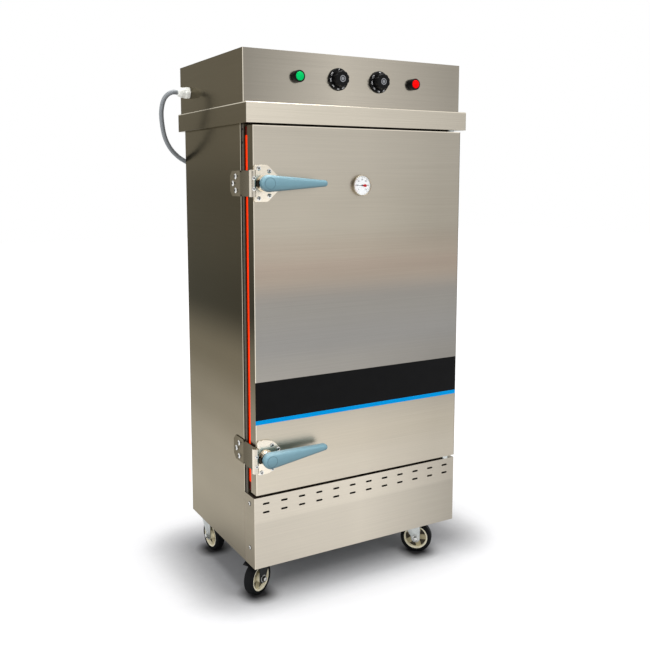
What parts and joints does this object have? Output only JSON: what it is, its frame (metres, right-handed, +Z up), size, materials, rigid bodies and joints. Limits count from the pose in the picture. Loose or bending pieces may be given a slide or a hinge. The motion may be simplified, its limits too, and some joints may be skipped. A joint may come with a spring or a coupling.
{
  "type": "rice steamer cabinet",
  "caption": "Upright insulated steam cabinet on swivel casters, with a lever-latched door, a heated water tank, tray rails and a control box on top.",
  "frame": {"origin": "on the floor, below the middle of the box round the cabinet and its casters, without its cord", "axes": "+Z up; -Y out of the door; +X towards the door pivots, on the right of someone facing the door"},
  "size_m": [0.8098, 0.7388, 1.5473],
  "materials": {
    "satin_steel": "horizontally brushed stainless sheet, warm grey",
    "liner_steel": "smooth stainless sheet",
    "galvanised_steel": "zinc-plated steel, dull",
    "insulation_foam": "rigid insulating foam",
    "door_seal": "orange-red silicone rubber",
    "tyre_rubber": "black rubber tread",
    "wheel_plastic": "cream moulded plastic",
    "black_plastic": "black moulded plastic",
    "lever_plastic": "pale blue-grey coating",
    "dark_steel": "dark plated steel",
    "dial_white": "white dial in a metal rim",
    "needle_red": "painted pointer",
    "lens_green": "green lens",
    "lens_red": "red lens",
    "white_plastic": "white nylon",
    "cord_grey": "grey cable sheath"
  },
  "bodies": {
    "cabinet": {"outer_wrap": "satin_steel", "base_tray": "galvanised_steel", "lower_front_panel": "satin_steel", "cap_band": "satin_steel", "control_box": "satin_steel", "door_frame": "liner_steel", "inner_liner": "liner_steel", "insulation": "insulation_foam", "water_tank": "liner_steel", "heating_element": "dark_steel", "steam_deck": "liner_steel", "tray_rack_left": "liner_steel", "tray_rack_right": "liner_steel", "drain_pipe": "liner_steel", "hinge_pin_upper": "galvanised_steel", "hinge_pin_lower": "galvanised_steel", "latch_keeper_upper": "satin_steel", "latch_keeper_lower": "satin_steel", "green_lamp_bezel": "black_plastic", "green_lamp_lens": "lens_green", "red_lamp_bezel": "black_plastic", "red_lamp_lens": "lens_red", "timer_unit": "black_plastic", "thermostat_unit": "black_plastic", "cord_gland": "white_plastic", "power_cord": "cord_grey", "power_cord_coil": "cord_grey", "power_plug": "black_plastic", "caster_plate_front_left": "galvanised_steel", "caster_plate_front_right": "galvanised_steel", "caster_plate_rear_left": "galvanised_steel", "caster_plate_rear_right": "galvanised_steel"},
    "door": {"door_skin": "satin_steel", "door_inner_pan": "liner_steel", "door_core": "insulation_foam", "door_gasket": "door_seal", "thermometer_case": "dial_white", "latch_base_upper": "satin_steel", "latch_base_lower": "satin_steel"},
    "needle": {"thermometer_needle": "needle_red"},
    "latch_upper": {"latch_lever_upper": "lever_plastic", "latch_cam_upper": "dark_steel"},
    "latch_lower": {"latch_lever_lower": "lever_plastic", "latch_cam_lower": "dark_steel"},
    "timer_knob": {"timer_knob": "black_plastic"},
    "thermostat_knob": {"thermostat_knob": "black_plastic"},
    "swivel_front_left": {"caster_fork_front_left": "galvanised_steel"},
    "wheel_front_left": {"wheel_hub_front_left": "wheel_plastic", "wheel_tyre_front_left": "tyre_rubber"},
    "swivel_front_right": {"caster_fork_front_right": "galvanised_steel"},
    "wheel_front_right": {"wheel_hub_front_right": "wheel_plastic", "wheel_tyre_front_right": "tyre_rubber"},
    "swivel_rear_left": {"caster_fork_rear_left": "galvanised_steel"},
    "wheel_rear_left": {"wheel_hub_rear_left": "wheel_plastic", "wheel_tyre_rear_left": "tyre_rubber"},
    "swivel_rear_right": {"caster_fork_rear_right": "galvanised_steel"},
    "wheel_rear_right": {"wheel_hub_rear_right": "wheel_plastic", "wheel_tyre_rear_right": "tyre_rubber"},
    "pedal_left": {"brake_pedal_front_left": "black_plastic"},
    "pedal_right": {"brake_pedal_front_right": "black_plastic"}
  },
  "joints": [
    {"name": "door_hinge", "type": "hinge", "parent": "cabinet", "child": "door", "pos_m": [0.319, -0.21705, 0.84], "axis": [0, 0, 1], "range_deg": [0, 110]},
    {"name": "latch_lower_turn", "type": "hinge", "parent": "door", "child": "latch_lower", "pos_m": [-0.318, -0.22705, 0.441], "axis": [0, -1, 0], "range_deg": [0, 90]},
    {"name": "latch_upper_turn", "type": "hinge", "parent": "door", "child": "latch_upper", "pos_m": [-0.318, -0.22705, 1.193], "axis": [0, -1, 0], "range_deg": [0, 90]},
    {"name": "needle_turn", "type": "hinge", "parent": "door", "child": "needle", "pos_m": [-0.009, -0.23935, 1.187], "axis": [0, -1, 0], "range_deg": [-222, 48]},
    {"name": "pedal_left_press", "type": "hinge", "parent": "swivel_front_left", "child": "pedal_left", "pos_m": [-0.32526, -0.15805, 0.1085], "axis": [0.4695, -0.8829, 0], "range_deg": [0, 18]},
    {"name": "pedal_right_press", "type": "hinge", "parent": "swivel_front_right", "child": "pedal_right", "pos_m": [0.27641, -0.16784, 0.1085], "axis": [0.6691, 0.7431, 0], "range_deg": [0, 18]},
    {"name": "swivel_front_left_turn", "type": "hinge", "parent": "cabinet", "child": "swivel_front_left", "pos_m": [-0.282, -0.13505, 0.117], "axis": [0, 0, 1], "continuous": true},
    {"name": "swivel_front_right_turn", "type": "hinge", "parent": "cabinet", "child": "swivel_front_right", "pos_m": [0.24, -0.13505, 0.117], "axis": [0, 0, 1], "continuous": true},
    {"name": "swivel_rear_left_turn", "type": "hinge", "parent": "cabinet", "child": "swivel_rear_left", "pos_m": [-0.311, 0.21295, 0.117], "axis": [0, 0, 1], "continuous": true},
    {"name": "swivel_rear_right_turn", "type": "hinge", "parent": "cabinet", "child": "swivel_rear_right", "pos_m": [0.24, 0.21295, 0.117], "axis": [0, 0, 1], "continuous": true},
    {"name": "thermostat_knob_turn", "type": "hinge", "parent": "cabinet", "child": "thermostat_knob", "pos_m": [0.067, -0.20505, 1.481], "axis": [0, -1, 0], "range_deg": [-270, 0]},
    {"name": "timer_knob_turn", "type": "hinge", "parent": "cabinet", "child": "timer_knob", "pos_m": [-0.069, -0.20505, 1.481], "axis": [0, -1, 0], "range_deg": [-330, 0]},
    {"name": "wheel_front_left_spin", "type": "hinge", "parent": "swivel_front_left", "child": "wheel_front_left", "pos_m": [-0.30672, -0.1482, 0.05], "axis": [0.4695, -0.8829, 0], "continuous": true},
    {"name": "wheel_front_right_spin", "type": "hinge", "parent": "swivel_front_right", "child": "wheel_front_right", "pos_m": [0.26081, -0.15379, 0.05], "axis": [0.6691, 0.7431, 0], "continuous": true},
    {"name": "wheel_rear_left_spin", "type": "hinge", "parent": "swivel_rear_left", "child": "wheel_rear_left", "pos_m": [-0.30807, 0.1851, 0.05], "axis": [0.9945, 0.1045, 0], "continuous": true},
    {"name": "wheel_rear_right_spin", "type": "hinge", "parent": "swivel_rear_right", "child": "wheel_rear_right", "pos_m": [0.23323, 0.18578, 0.05], "axis": [0.9703, -0.2419, 0], "continuous": true}
  ]
}
